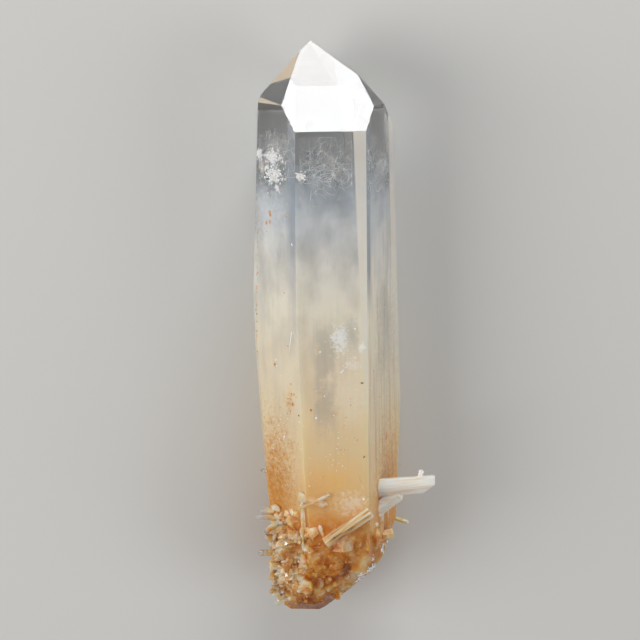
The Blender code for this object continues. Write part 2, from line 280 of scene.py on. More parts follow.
def surface_points(count, seed, keep, below):
    """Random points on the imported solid, by area times keep: their places, normals and the random source.

    A point is a + u (b - a) + v (c - a) on a triangle a, b, c, with u + v folded to at most 1. Points are
    tried on triangles whose middle lies below a place along the axis, and keep then chooses among them.
    """
    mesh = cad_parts["quartz_point"].data
    mesh.calc_loop_triangles()
    corners = np.empty(len(mesh.vertices) * 3, dtype=np.float64)
    mesh.vertices.foreach_get("co", corners)
    corners = corners.reshape(-1, 3) / MM - AXIS_PLACE
    triangles = np.empty(len(mesh.loop_triangles) * 3, dtype=np.int32)
    mesh.loop_triangles.foreach_get("vertices", triangles)
    a, b, c = corners[triangles.reshape(-1, 3)].transpose(1, 0, 2)
    across = np.cross(b - a, c - a)
    area = np.linalg.norm(across, axis=1) * ((a + b + c)[:, 1] / 3.0 < below)
    chance = np.random.default_rng(seed)
    tried = chance.choice(len(area), count * TRIES, p=area / area.sum())
    u, v = chance.uniform(size=(2, count * TRIES, 1))
    outside = u + v > 1.0
    u = np.where(outside, 1.0 - u, u)
    v = np.where(outside, 1.0 - v, v)
    points = a[tried] + u * (b - a)[tried] + v * (c - a)[tried]
    normals = unit(across)[tried]
    wanted = keep(points, normals)
    kept = chance.choice(len(points), count, replace=False, p=wanted / wanted.sum())
    return points[kept], normals[kept], chance


def on_face(turn, across, along, out=0.0):
    """Points on a prism face: its distance times its normal, plus across times its sideways direction."""
    angle = math.radians(turn)
    distance = prism_distance(turn, along) + out
    return np.stack([distance * math.sin(angle) + across * math.cos(angle), along + 0.0 * across,
                     distance * math.cos(angle) - across * math.sin(angle)], axis=-1)


# Looks

# Lowest and highest place along the axis that the colour run covers
RUN_LOW = -74.0
RUN_HIGH = 69.0


def run(*stops):
    """Stops of a run of colours or shares, from places along the axis in millimetres."""
    return [((place - RUN_LOW) / (RUN_HIGH - RUN_LOW), value) for place, value in stops]


COLOUR_RUN = run(
    (-72.0, linear("#a8642c")), (-60.0, linear("#d6984c")), (-46.0, linear("#f0bc74")),
    (-34.0, linear("#f6d8a6")), (-16.0, linear("#f8e6c8")), (4.0, linear("#f6eedd")),
    (18.0, linear("#f2efe8")), (32.0, linear("#e6ecf2")), (50.0, linear("#ffffff")))
# Share of light that goes through rather than being scattered by milk
CLEAR_RUN = run((-72.0, 0.30), (-56.0, 0.22), (-20.0, 0.12), (6.0, 0.12), (16.0, 0.18), (24.0, 0.30),
                (31.0, 0.50), (37.0, 0.80), (42.0, 0.97), (46.0, 1.0))
# How much of a sheet of milk is bubbles
BUBBLE_RUN = run((-70.0, 0.34), (-20.0, 0.30), (6.0, 0.28), (20.0, 0.24), (32.0, 0.16), (40.0, 0.06),
                 (48.0, 0.0))
ROOT_PATCHES = [(0.28, linear("#b05c1c")), (0.40, linear("#dc8428")), (0.50, linear("#f0a648")),
                (0.60, linear("#f8c480")), (0.76, linear("#fde2bc"))]

# Stains, milk and healed cracks in the crystal. Each is centre and half sizes in millimetres, raggedness,
# softness of the edge, colour, its share, and what the clear share turns to.
SPOTS = (
    # Smoky hair veil high on the left and the right
    ((-11.5, 43.0, 7.0), (6.0, 5.5, 8.0), 0.9, 0.9, "#eceae6", 0.8, 0.60),
    ((15.0, 38.5, 4.0), (4.5, 4.0, 8.0), 1.1, 0.9, "#e4e8ee", 0.8, 0.56),
    # White healed cracks near the upper left edge
    ((-14.6, 41.4, 1.0), (1.4, 1.3, 2.0), 1.9, 0.3, "#ffffff", 1.0, 0.0),
    ((-11.9, 41.1, 6.1), (2.3, 2.0, 3.6), 2.6, 0.5, "#f6f6f8", 0.95, 0.0),
    ((-11.8, 37.0, 6.3), (2.6, 2.3, 4.3), 2.6, 0.5, "#f6f6f8", 0.95, 0.0),
    ((-6.2, 37.3, 14.2), (1.1, 0.9, 1.4), 2.0, 0.5, "#f8f4f0", 0.95, 0.0),
    ((-13.9, 38.4, 2.4), (1.6, 2.6, 2.0), 0.9, 0.9, "#f0e0d0", 0.9, 0.15),
    ((-11.0, 33.8, 7.8), (0.8, 0.9, 1.4), 2.4, 0.5, "#fdf6ea", 0.9, 0.0),
    # White and clear patches low on the front
    ((3.3, -2.4, 14.2), (2.7, 3.6, 1.5), 1.8, 0.6, "#fbf5f0", 0.85, 0.03),
    ((8.6, -4.4, 14.2), (1.1, 1.3, 1.5), 1.6, 0.5, "#fdf6ee", 0.9, 0.03),
    ((6.2, -8.8, 14.2), (2.0, 1.5, 1.5), 1.8, 0.6, "#f8ecde", 0.7, 0.05),
    ((6.3, -1.6, 14.2), (2.0, 5.4, 1.5), 0.9, 0.9, "#c8cac6", 0.4, 0.35),
    ((5.6, -16.0, 14.2), (5.6, 8.0, 1.5), 1.2, 0.9, "#f6e8d2", 0.5, 0.06),
    # Paler milk high on the left, greyer milk low on the right
    ((-12.8, 27.0, 4.5), (5.5, 10.5, 8.5), 0.9, 0.9, "#eceef0", 0.6, 0.16),
    ((16.0, -3.0, 3.5), (6.0, 16.0, 9.5), 1.0, 1.0, "#b4b2aa", 0.4, 0.20),
    # Golden and rusty stains, growing towards the root
    ((-9.3, -17.5, 10.8), (2.0, 3.0, 3.4), 1.8, 0.8, "#f4c878", 0.6, 0.10),
    ((-12.5, -44.0, 4.5), (7.5, 22.0, 12.0), 1.3, 0.9, "#d48a08", 0.95, 0.10),
    ((16.5, -46.0, 2.0), (8.0, 23.0, 12.5), 0.9, 0.9, "#dc9434", 0.85, 0.10),
    ((1.5, -37.0, 14.2), (9.0, 7.5, 3.0), 0.9, 1.0, "#f8c880", 0.7, 0.05),
    ((-9.6, -49.5, 10.8), (3.4, 4.4, 4.4), 1.0, 0.9, "#de7e12", 0.8, 0.18),
    ((-0.7, -49.5, 13.0), (6.5, 5.4, 4.0), 0.9, 0.9, "#e08418", 0.85, 0.12),
    ((-10.0, -45.9, 9.5), (1.0, 0.9, 1.4), 0.8, 0.5, "#a0501a", 0.9, 0.1),
    ((6.0, -43.0, 13.8), (5.0, 3.8, 3.0), 1.3, 0.8, "#f8e6ce", 0.7, 0.04),
    ((4.8, -60.0, 9.0), (1.7, 4.2, 5.0), 0.8, 0.6, "#94480e", 0.85, 0.3),
    ((0.0, -72.5, 2.0), (12.0, 7.0, 14.0), 0.8, 0.8, "#944c0c", 0.95, 0.16),
    ((14.6, -63.4, -3.0), (2.2, 4.6, 6.0), 0.9, 0.5, "#e6eef2", 0.85, 0.08),
)


def along_run(tree, where, drift_size, drift_reach):
    """Place along the axis, from 0 to 1 over the colour run, moved by a cloudy noise; and that noise."""
    along = add(tree, "SeparateXYZ", inputs={0: where}).outputs["Y"]
    cloud = add(tree, "TexNoise", inputs={
        "Vector": where, "Scale": 1.0 / drift_size, "Detail": 4.0, "Roughness": 0.55})
    drift = add(tree, "MapRange", inputs={"Value": cloud, "To Min": -drift_reach, "To Max": drift_reach})
    place = add(tree, "Math", {"operation": "ADD"}, {0: along, 1: drift})
    return add(tree, "MapRange", inputs={"Value": place, "From Min": RUN_LOW, "From Max": RUN_HIGH}), cloud


def facing(tree, turn, lean=0.0):
    """1 on the faces that look one way about the axis and lean so far towards the tip, 0 on all others."""
    angle = math.radians(turn)
    way = (math.sin(angle) * math.cos(lean), math.sin(lean), math.cos(angle) * math.cos(lean))
    normal = add(tree, "NewGeometry").outputs["True Normal"]
    ahead = add(tree, "VectorMath", {"operation": "DOT_PRODUCT"}, {0: normal, 1: way}).outputs["Value"]
    return add(tree, "MapRange", inputs={"Value": ahead, "From Min": 0.97, "From Max": 0.99})


# What a limit's numbers are: a value, where it counts as 0, where it counts in full, and how much that is
LIMIT = ("Value", "From Min", "From Max", "To Max")


def within(tree, *limits):
    """Share of the surface that lies within all limits: the product of what each of them gives.

    A limit is a value, where it counts as 0 and where it counts in full, which is 1 or a fourth number, and
    it runs evenly between. The first of the two may be the larger. A share goes in as it is.
    """
    shares = [add(tree, "MapRange", inputs=dict(zip(LIMIT, limit))) if isinstance(limit, tuple) else limit
              for limit in limits]
    product = shares[0]
    for share in shares[1:]:
        product = add(tree, "Math", {"operation": "MULTIPLY"}, {0: product, 1: share})
    return product


def sideways(tree, where, turn, slope):
    """Distance across a prism face, plus slope times the place along the axis."""
    angle = math.radians(turn)
    return add(tree, "VectorMath", {"operation": "DOT_PRODUCT"},
               {0: where, 1: (math.cos(angle), slope, -math.sin(angle))}).outputs["Value"]


def lay(tree, share, body, clear, colour, clearness):
    """Mix a colour into the body's and a clearness into its clear share, by a share of the surface."""
    body = add(tree, "MixRGB", inputs={"Fac": share, "Color1": body, "Color2": colour})
    clear = add(tree, "MixRGB", inputs={"Fac": share, "Color1": clear, "Color2": grey(clearness)})
    return body, clear


def mottled(tree, where, along, body, clear):
    """Mottled milk, 8 mm across and 14 mm along, and streaks 0.9 by 20 mm, strongest on the right."""
    wide = add(tree, "Mapping", inputs={"Vector": where, "Scale": (0.13, 0.07, 0.13)})
    mottle = add(tree, "TexNoise", inputs={"Vector": wide, "Scale": 1.0, "Detail": 4.0, "Roughness": 0.5})
    narrow = add(tree, "Mapping", inputs={"Vector": where, "Scale": (1.1, 0.05, 1.1)})
    streak = add(tree, "TexNoise", inputs={"Vector": narrow, "Scale": 1.0, "Detail": 2.0})
    thin = within(tree, (mottle, 0.42, 0.74, 0.32), (along, -30.0, 26.0))
    lined = within(tree, (streak, 0.50, 0.75, 0.2), (facing(tree, 60), -0.25, 1.0), (along, 36.0, 0.0))
    thin = add(tree, "Math", {"operation": "ADD"}, {0: thin, 1: lined})
    thin = within(tree, thin, (along, -56.0, -30.0))
    body = add(tree, "MixRGB", inputs={"Fac": thin, "Color1": body, "Color2": linear("#a9aeb0")})
    clear = add(tree, "Math", {"operation": "ADD", "use_clamp": True}, {0: clear, 1: thin})
    return body, clear


def with_painted_reflections(tree, where, along, patch, body, clear):
    """Painted reflections: straight-edged bands painted where the faces would show the far side or the glow
    of the milk, pale along the edges and bluish-grey on the side faces, and a clearer window.

    Each is a share of the surface, a colour, its strength and a clearness. The edges lie along the faces'
    own edges, apart from two painted reflections on the left tip face, which cut off its upper part and a
    wedge at its foot.
    """
    upper = within(tree, (along, -22.0, -2.0))
    left_tip = facing(tree, 300, LEAN)
    window = within(tree, facing(tree, 0), (sideways(tree, where, 0, 0.0), -3.5, -2.2),
                    (sideways(tree, where, 0, 0.0), 2.8, 1.6), (along, -28.0, -20.0), (along, 4.0, -3.0),
                    (patch, 0.30, 0.50))
    bands = (
        # Painted reflections: pale strips along the front and right faces' edges, where the lit far side
        # would be seen through
        (within(tree, facing(tree, 0), (sideways(tree, where, 0, 0.0355), 8.3, 8.6), upper),
         "#f7efe2", 0.75, 0.18),
        (within(tree, facing(tree, 60), (sideways(tree, where, 60, 0.0412), 8.3, 8.7), upper),
         "#f7efe2", 0.75, 0.18),
        # Painted shade: bluish-grey bands on the left and right faces, where the dark far side would be
        # seen through
        (within(tree, facing(tree, 300), (sideways(tree, where, 300, 0.0), 4.4, 7.4), (along, -6.0, 34.0)),
         "#a4b2c4", 0.6, 0.60),
        (within(tree, facing(tree, 60), (sideways(tree, where, 60, 0.0), -4.6, -5.6), (along, 2.0, 14.0)),
         "#94a4bc", 0.55, 0.62),
        (window, "#b8b6ae", 0.3, 0.40),
        # Painted reflections: beige patches on the left tip face, standing in for the milk's glow mirrored
        # inside
        (within(tree, left_tip, (sideways(tree, where, 300, -3.288), -196.8, -197.4)),
         "#e2cdb2", 0.9, 0.30),
        (within(tree, left_tip, (sideways(tree, where, 300, 9.35), 507.9, 506.9)),
         "#e2cdb2", 0.9, 0.30),
    )
    for share, code, strength, clearness in bands:
        body, clear = lay(tree, within(tree, share, strength), body, clear, linear(code), clearness)
    return body, clear


def spotted(tree, where, body, clear):
    """The spots: each is full inside its ellipsoid, and a 1.1 mm noise makes its edge ragged."""
    fine = add(tree, "TexNoise", inputs={
        "Vector": where, "Scale": 1.0 / 1.1, "Detail": 4.0, "Roughness": 0.65})
    for centre, sizes, ragged, soft, code, strength, clearness in SPOTS:
        off = add(tree, "VectorMath", {"operation": "SUBTRACT"}, {0: where, 1: centre})
        off = add(tree, "VectorMath", {"operation": "DIVIDE"}, {0: off, 1: sizes})
        far = add(tree, "VectorMath", {"operation": "LENGTH"}, {0: off}).outputs["Value"]
        far = add(tree, "Math", {"operation": "MULTIPLY_ADD"}, {0: fine, 1: 2.0 * ragged, 2: far})
        share = within(tree, (far, 1.0 + ragged, 1.0 + ragged - soft, strength))
        body, clear = lay(tree, share, body, clear, linear(code), clearness)
    return body, clear


def proudness(tree, where):
    """How far a point stands out of the main crystal: the most that it is in front of any prism face."""
    proud = None
    for face in PRISM_FACES:
        turn = math.radians(face)
        for slope, distance in stretches(face):
            ahead = add(tree, "VectorMath", {"operation": "DOT_PRODUCT"},
                        {0: where, 1: (math.sin(turn), -slope, math.cos(turn))}).outputs["Value"]
            over = add(tree, "Math", {"operation": "SUBTRACT"}, {0: ahead, 1: distance})
            if proud is None:
                proud = over
            else:
                proud = add(tree, "Math", {"operation": "MAXIMUM"}, {0: proud, 1: over})
    return proud


def stripes(tree, where, turn, length, width, detail):
    """Noise stretched along one direction in the plan: stripes of a length and a width in millimetres."""
    stretched = add(tree, "Mapping", {"vector_type": "TEXTURE"}, {
        "Vector": where, "Rotation": (0.0, 0.0, math.radians(turn)), "Scale": (length, width, width)})
    return add(tree, "TexNoise", inputs={"Vector": stretched, "Scale": 1.0, "Detail": detail})


def with_young_crystals(tree, where, parts, patch, body, clear):
    """The small crystals that stand out of the main one: honey-coloured, but for three kinds.

    The needle is amber, the blade pale and the prongs on the left clear. Stripes along the needle and the
    blade are painted reflections of their inner faces: painted highlights, and painted dark streaks on the
    needle.
    """
    right, along, front = (parts.outputs[name] for name in "XYZ")
    honey = add(tree, "ValToRGB", {"stops": [
        (0.36, linear("#d48c44")), (0.50, linear("#f2c080")), (0.64, linear("#fde6c8"))]}, {"Fac": patch})
    # The needle's amber, striped with painted highlights (near white) and painted dark streaks (grey)
    amber = add(tree, "ValToRGB", {"stops": [
        (0.36, linear("#8e8678")), (0.45, linear("#e8b474")), (0.55, linear("#fcdaac")),
        (0.64, linear("#fffaf2"))]}, {"Fac": stripes(tree, where, 35.0, 24.0, 0.95, 2.0)})
    # The blade's pale rose, striped with painted highlights
    rosy = add(tree, "ValToRGB", {"stops": [(0.36, linear("#f6dcc8")), (0.60, linear("#fff6ee"))]},
               {"Fac": stripes(tree, where, 5.0, 9.0, 0.8, 3.0)})
    prong = within(tree, (right, -13.4, -14.6))
    needle = within(tree, (right, -1.0, 1.0), (front, 11.5, 12.5))
    blade = within(tree, (right, 10.5, 12.5), (along, -49.5, -47.5))
    tone, glass = lay(tree, prong, honey, grey(0.1), linear("#fff8ee"), 0.65)
    tone, glass = lay(tree, needle, tone, glass, amber, 0.3)
    tone, glass = lay(tree, blade, tone, glass, rosy, 0.1)
    young = within(tree, (proudness(tree, where), 0.05, 0.35))
    body = add(tree, "MixRGB", inputs={"Fac": young, "Color1": body, "Color2": tone})
    clear = add(tree, "MixRGB", inputs={"Fac": young, "Color1": clear, "Color2": glass})
    return body, clear


def ridged(tree, where, along):
    """Growth lines across the prism faces, 0.3 mm apart and 20 mm long, and an etched, stepped root.

    The lines are at most 0.03 mm deep, and the steps 0.4 mm.
    """
    across = add(tree, "Mapping", inputs={"Vector": where, "Scale": (0.05, 3.3, 0.05)})
    lines = add(tree, "TexNoise", inputs={"Vector": across, "Scale": 1.0, "Detail": 2.0})
    ridge = add(tree, "Bump", inputs={"Strength": 0.25, "Distance": 0.03 * MM, "Height": lines})
    steps = add(tree, "TexNoise", inputs={"Vector": where, "Scale": 1.0 / 0.9, "Detail": 3.0})
    stepped = within(tree, steps, (along, -44.0, -50.0))
    return add(tree, "Bump", inputs={
        "Strength": 0.9, "Distance": 0.4 * MM, "Height": stepped, "Normal": ridge})


def rock_crystal():
    """Rock crystal, grown from hot water, with glassy flat faces and a broken, iron-stained root.

    The eye sees a clear tip, a cream body that glows from inside, and an amber root.
    """
    made, tree, where = start_material("rock_crystal")
    parts = add(tree, "SeparateXYZ", inputs={0: where})
    along = parts.outputs["Y"]
    place = along_run(tree, where, 14.0, 9.0)[0]
    body = add(tree, "ValToRGB", {"stops": COLOUR_RUN}, {"Fac": place})
    clear = add(tree, "ValToRGB", {"stops": CLEAR_RUN}, {"Fac": place})
    # Root: patches of clear, honey and brown quartz, about as large as its crystals
    patch = add(tree, "TexNoise", inputs={"Vector": where, "Scale": 1.0 / 3.2, "Detail": 3.0})
    patches = add(tree, "ValToRGB", {"stops": ROOT_PATCHES}, {"Fac": patch})
    rooty = within(tree, (along, ROOT_TOP, ROOT_TOP - 6.0))
    body = add(tree, "MixRGB", inputs={"Fac": rooty, "Color1": body, "Color2": patches})
    body, clear = mottled(tree, where, along, body, clear)
    # Painted reflections: bands along the faces' edges and patches on the left tip face
    body, clear = with_painted_reflections(tree, where, along, patch, body, clear)
    body, clear = spotted(tree, where, body, clear)
    body, clear = with_young_crystals(tree, where, parts, patch, body, clear)
    rough = add(tree, "MapRange", inputs={
        "Value": along, "From Min": -44.0, "From Max": -50.0, "To Min": 0.04, "To Max": 0.16})
    finish_material(tree, add(tree, "BsdfPrincipled", inputs={
        "Base Color": body, "Roughness": rough, "IOR": QUARTZ_IOR, "Transmission Weight": clear,
        "Normal": ridged(tree, where, along), "Subsurface Weight": 1.0,
        "Subsurface Radius": (1.0, 0.8, 0.6), "Subsurface Scale": 4.0 * MM}))
    return made


def golden_druse():
    """Young quartz, grown last and fast, so it is clouded and stained by iron.

    The eye sees golden to nearly white crystals with bright faces that glint.
    """
    made, tree, where = start_material("golden_druse")
    patch = add(tree, "TexNoise", inputs={"Vector": where, "Scale": 1.0 / 2.4, "Detail": 2.0})
    hue = add(tree, "ValToRGB", {"stops": [
        (0.32, linear("#e8ac5c")), (0.43, linear("#f6cc90")), (0.53, linear("#fce2bc")),
        (0.66, linear("#fff6ea"))]}, {"Fac": patch})
    finish_material(tree, add(tree, "BsdfPrincipled", inputs={
        "Base Color": hue, "Roughness": 0.05, "IOR": QUARTZ_IOR, "Transmission Weight": 0.35,
        "Subsurface Weight": 0.2, "Subsurface Radius": (1.0, 0.8, 0.6), "Subsurface Scale": 1.0 * MM}))
    return made


def milk_bubbles():
    """Milk: sheets of tiny water bubbles caught while the crystal grew.

    The eye sees fog without a shine that thickens downwards.
    """
    made, tree, where = start_material("milk_bubbles")
    place, cloud = along_run(tree, where, 11.0, 12.0)
    body = add(tree, "ValToRGB", {"stops": COLOUR_RUN}, {"Fac": place})
    thick = add(tree, "ValToRGB", {"stops": BUBBLE_RUN}, {"Fac": place})
    patch = add(tree, "MapRange", inputs={
        "Value": cloud, "From Min": 0.34, "From Max": 0.66, "To Min": 0.35, "To Max": 1.7})
    dense = add(tree, "Math", {"operation": "MULTIPLY"}, {0: thick, 1: patch})
    finish_material(tree, add(tree, "BsdfPrincipled", inputs={
        "Base Color": body, "Roughness": 1.0, "Specular IOR Level": 0.0, "Alpha": dense}))
    return made


def inclusion(name, dark, light, rough, grain, least=1.0, most=1.0):
    """Look of something small in the crystal, whose colour and alpha vary over a grain in millimetres."""
    made, tree, where = start_material(name)
    noise = add(tree, "TexNoise", inputs={"Vector": where, "Scale": 1.0 / grain, "Detail": 3.0})
    hue = add(tree, "ValToRGB", {"stops": [(0.35, linear(dark)), (0.65, linear(light))]}, {"Fac": noise})
    shader = add(tree, "BsdfPrincipled", inputs={"Base Color": hue, "Roughness": rough})
    if least < 1.0:
        share = add(tree, "MapRange", inputs={
            "Value": noise, "From Min": 0.3, "From Max": 0.7, "To Min": least, "To Max": most})
        tree.links.new(share.outputs[0], shader.inputs["Alpha"])
    finish_material(tree, shader)
    return made


def studio_paper():
    """Matt studio paper, rolled out under the crystal: pale and plain."""
    made, tree = start_material("studio_paper")[:2]
    finish_material(tree, add(tree, "BsdfPrincipled", inputs={
        "Base Color": linear("#d6d5d2"), "Roughness": 0.9, "Specular IOR Level": 0.2}))
    return made


# The crystal and its milk

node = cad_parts["quartz_point"]
node.data.materials.clear()
node.data.materials.append(rock_crystal())

MILK_ROWS = 100
MILK_COLUMNS = 64
MILK_LOW = -61.0
MILK_HIGH = 57.0
milk_look = milk_bubbles()


def milk_sheet(name, share, seed):
    """Sheet of milk: a tube about the axis at a share of the way to the surface, narrower at both ends.

    Radius = share * reach(turn, along) * (1 + waves), and less than the surface's everywhere.
    """
    along, turn = np.meshgrid(np.linspace(MILK_LOW, MILK_HIGH, MILK_ROWS),
                              np.linspace(0.0, 2.0 * math.pi, MILK_COLUMNS, endpoint=False), indexing="ij")
    radius = share * reach(turn, along) * np.clip((along - MILK_LOW + 0.5) / 18.0, 0.0, 1.0) ** 0.5
    points = np.stack([radius * np.sin(turn), along, radius * np.cos(turn)], axis=-1)
    bulge = 1.0 + 0.06 * waves(points.reshape(-1, 3), seed, 24, 60.0, 10.0).reshape(along.shape)
    bulge = np.minimum(bulge, 0.96 / share)
    points[..., 0] *= bulge
    points[..., 2] *= bulge
    place_piece(name, points, tube_faces(MILK_ROWS, MILK_COLUMNS).tolist(), milk_look)


for number, share in enumerate((0.88, 0.74, 0.60, 0.46, 0.32, 0.18)):
    milk_sheet(f"milk_sheet_{number}", share, 20 + number)

# Healed cracks

# Cracks closed again by new quartz, which left trails of tiny bubbles: fine pale hairs, duller than glass
hair_look = inclusion("bubble_trails", "#d8d4cc", "#fbf8f2", 0.5, grain=2.0, least=0.42, most=0.98)
HAIR_STEPS = 14
HAIR_RADII = (0.022, 0.055)
# How far a hair's middle lies under the face
HAIR_DEPTH = 0.01


def hairs(name, turn, count, seed, across, along, length):
    """Curved threads in a prism face. across and along are (middle, spread, least, greatest).

    Each starts at random and heads on with a heading that turns evenly, plus a small random walk.
    """
    chance = np.random.default_rng(seed)
    bend = chance.normal(size=(count, 1)) * 1.8
    walk = np.cumsum(chance.normal(size=(count, HAIR_STEPS)) * 0.25, axis=1)
    start = chance.uniform(0.0, 2.0 * math.pi, (count, 1))
    heading = start + (bend + walk) * np.linspace(0.0, 1.0, HAIR_STEPS)
    step = length * chance.uniform(0.3, 1.0, (count, 1)) / HAIR_STEPS
    side = across[0] + across[1] * chance.normal(size=(count, 1))
    side = np.clip(side + np.cumsum(np.cos(heading) * step, axis=1), across[2], across[3])
    up = along[0] + along[1] * chance.normal(size=(count, 1))
    up = np.clip(up + np.cumsum(np.sin(heading) * step, axis=1), along[2], along[3])
    paths = on_face(turn, side, up, -HAIR_DEPTH)
    paths = paths + chance.normal(size=paths.shape) * 0.002
    thinning = np.sin(np.linspace(0.05, math.pi - 0.05, HAIR_STEPS)) ** 0.5
    points, faces = threads(paths, chance.uniform(*HAIR_RADII, (count, 1)) * thinning)
    place_piece(name, points, faces, hair_look)


hairs("hairs_front", 0, 260, 3, (0.6, 4.6, -6.0, 6.4), (40.3, 3.0, 30.0, 46.5), 6.0)
hairs("hairs_right", 60, 150, 4, (-0.5, 4.0, -6.6, 7.4), (39.5, 4.0, 28.0, 46.0), 5.5)
hairs("hairs_left", 300, 130, 5, (1.2, 4.4, -6.0, 8.6), (42.5, 2.8, 36.0, 47.0), 5.5)

# Flakes and specks in the faces

# Each mark is face, across, along, half width, half length, turn in degrees
WHITE_MARKS = [
    (300, -2.6, 32.2, 0.22, 0.24, 0), (300, 7.2, 20.7, 0.24, 0.40, 20), (300, 1.8, -27.2, 0.40, 0.30, 30),
    (300, -2.9, -31.0, 0.20, 0.26, 0), (300, 6.5, -0.7, 0.16, 4.60, -12), (300, -0.3, -9.9, 0.34, 0.30, 0),
    (300, -0.5, -8.4, 0.20, 0.40, 0), (0, -1.6, -5.3, 0.22, 0.22, 0), (0, 6.9, 0.1, 0.30, 0.22, 0),
    (0, 7.0, -7.0, 0.20, 0.20, 0), (0, 3.7, -10.3, 0.16, 0.66, -45), (60, -5.0, -15.0, 0.25, 0.25, 0),
    (0, -2.6, -21.5, 0.30, 0.30, 0), (300, 8.4, -22.5, 0.22, 0.24, 0), (0, 8.8, -42.0, 0.3, 0.3, 0)]
ORANGE_MARKS = [
    (300, -1.8, 27.1, 0.36, 0.90, 8), (300, -1.8, 25.2, 0.34, 0.42, 0), (300, 5.3, 27.5, 0.42, 0.32, 30),
    (300, -3.4, 24.8, 0.30, 0.40, 0), (300, -3.2, 22.8, 0.16, 0.20, 0), (300, -1.0, -9.6, 0.60, 0.52, 0),
    (0, -3.9, -19.5, 0.28, 0.34, 0), (60, 4.1, -29.1, 0.30, 0.80, 0), (0, 5.8, -18.6, 0.20, 0.20, 0),
    (300, 3.9, 8.6, 0.2, 0.2, 0), (60, -3.6, -11.0, 0.2, 0.35, 0)]
BROWN_MARKS = [
    (0, 8.6, -13.2, 0.36, 0.18, 0), (0, 9.0, -31.5, 0.15, 0.46, -40), (300, 8.2, -20.9, 0.34, 0.20, 0),
    (300, -1.6, -45.8, 0.5, 0.45, 0), (0, 2.0, -50.0, 0.2, 0.2, 0), (300, 4.8, -4.2, 0.16, 0.2, 0)]

# Each cloud of random marks is face, middle (across, along), spread, count, least and greatest half width
WHITE_CLOUDS = (
    # Where the healed cracks high on the left break into flakes
    (300, (-5.6, 41.4), (0.5, 0.9), 30, 0.08, 0.35), (300, (-0.7, 41.1), (1.5, 0.8), 90, 0.08, 0.40),
    (300, (-0.4, 37.0), (2.0, 0.9), 120, 0.08, 0.45), (0, (-5.2, 37.3), (0.5, 0.5), 25, 0.08, 0.30),
    # In the white patches low on the front
    (0, (3.3, -2.4), (1.3, 1.7), 50, 0.04, 0.16), (0, (6.2, -8.8), (1.2, 1.2), 30, 0.04, 0.15),
    # Strewn over the lower faces
    (300, (1.0, -33.0), (3.6, 8.0), 150, 0.04, 0.18), (0, (1.5, -30.0), (4.0, 9.0), 45, 0.05, 0.18),
    (60, (0.5, -30.0), (3.4, 9.0), 45, 0.05, 0.18), (300, (1.0, 5.0), (3.4, 12.0), 20, 0.05, 0.15))
ORANGE_CLOUDS = (
    (300, (5.0, -18.0), (1.2, 1.8), 26, 0.10, 0.35), (300, (0.5, -33.0), (3.4, 8.0), 120, 0.05, 0.26),
    (0, (1.5, -30.0), (3.6, 9.0), 30, 0.05, 0.2), (60, (1.5, -32.0), (3.0, 8.0), 40, 0.05, 0.25),
    (240, (0.0, -28.0), (3.4, 12.0), 50, 0.06, 0.25), (120, (0.0, -30.0), (3.4, 12.0), 40, 0.06, 0.25))
BROWN_CLOUDS = ((300, (1.0, -40.0), (3.4, 4.0), 12, 0.06, 0.2),)

# Marks stay this near to the middle of a face, and this far up the axis, where no druse hides them
MARKS_ACROSS = 9.0
MARKS_BOTTOM = -46.0


def scatter(chance, clouds):
    """Rows of random marks: each cloud's lie about its middle, with sizes even in their logarithm."""
    rows = []
    for turn, middle, spread, count, small, large in clouds:
        places = np.array(middle) + np.array(spread) * chance.normal(size=(count, 2))
        sizes = small * (large / small) ** chance.uniform(size=(count, 2)) * (1.0, 1.15)
        spins = chance.uniform(0.0, 180.0, count)
        rows += np.column_stack([np.full(count, turn), places, sizes, spins]).tolist()
    return rows


def edge_marks(chance):
    """Marks down the left face's outer edge, from 27 mm to -8 mm along the axis, about 1 mm apart."""
    rows = []
    for along in np.linspace(27.0, -8.0, 34):
        across = -6.8 - 1.5 * (27.0 - along) / 33.0 + chance.normal() * 0.12
        up = along + chance.normal() * 0.5
        rows.append((300, across, up, chance.uniform(0.08, 0.25), chance.uniform(0.1, 0.35), 0))
    return rows


def inside_faces(rows):
    """The marks that lie above the druse and inside the faces' edges."""
    return [row for row in rows if row[2] > MARKS_BOTTOM and abs(row[1]) < MARKS_ACROSS]


def marks(name, look, rows, seed, tall):
    """Flat grains half sunk in the faces, one to a row; each is as tall as tall times its half width."""
    chance = np.random.default_rng(seed)
    rows = np.array(rows)
    centres = np.empty((len(rows), 3))
    axes = np.empty((len(rows), 3, 3))
    for turn in PRISM_FACES:
        here = rows[:, 0] == turn
        angle = math.radians(turn)
        side = np.array((math.cos(angle), 0.0, -math.sin(angle)))
        spin = np.radians(rows[here, 5])[:, None]
        centres[here] = on_face(turn, rows[here, 1], rows[here, 2])
        axes[here, 0] = np.cos(spin) * side + np.sin(spin) * (0.0, 1.0, 0.0)
        axes[here, 1] = -np.sin(spin) * side + np.cos(spin) * (0.0, 1.0, 0.0)
        axes[here, 2] = (math.sin(angle), 0.0, math.cos(angle))
    sizes = np.column_stack([rows[:, 3], rows[:, 4], np.minimum(tall * rows[:, 3], 0.06)])
    points, faces = repeat(GRAIN_POINTS, GRAIN_FACES, centres, axes, sizes, 0.35, chance)
    place_piece(name, points, faces, look, smooth=False)


# Thin air-filled flakes left where cracks stayed open: they send nearly all light back and look pure white.
# The same white makes the painted glints on the root.
white_look = inclusion("white_flakes_and_painted_glints", "#fdfcfa", "#ffffff", 0.25, grain=1.0)
# Iron oxide that settled on the faces as the last water dried: dull rusty orange grains
orange_look = inclusion("iron_oxide_specks", "#b4640c", "#eca648", 0.5, grain=0.8)
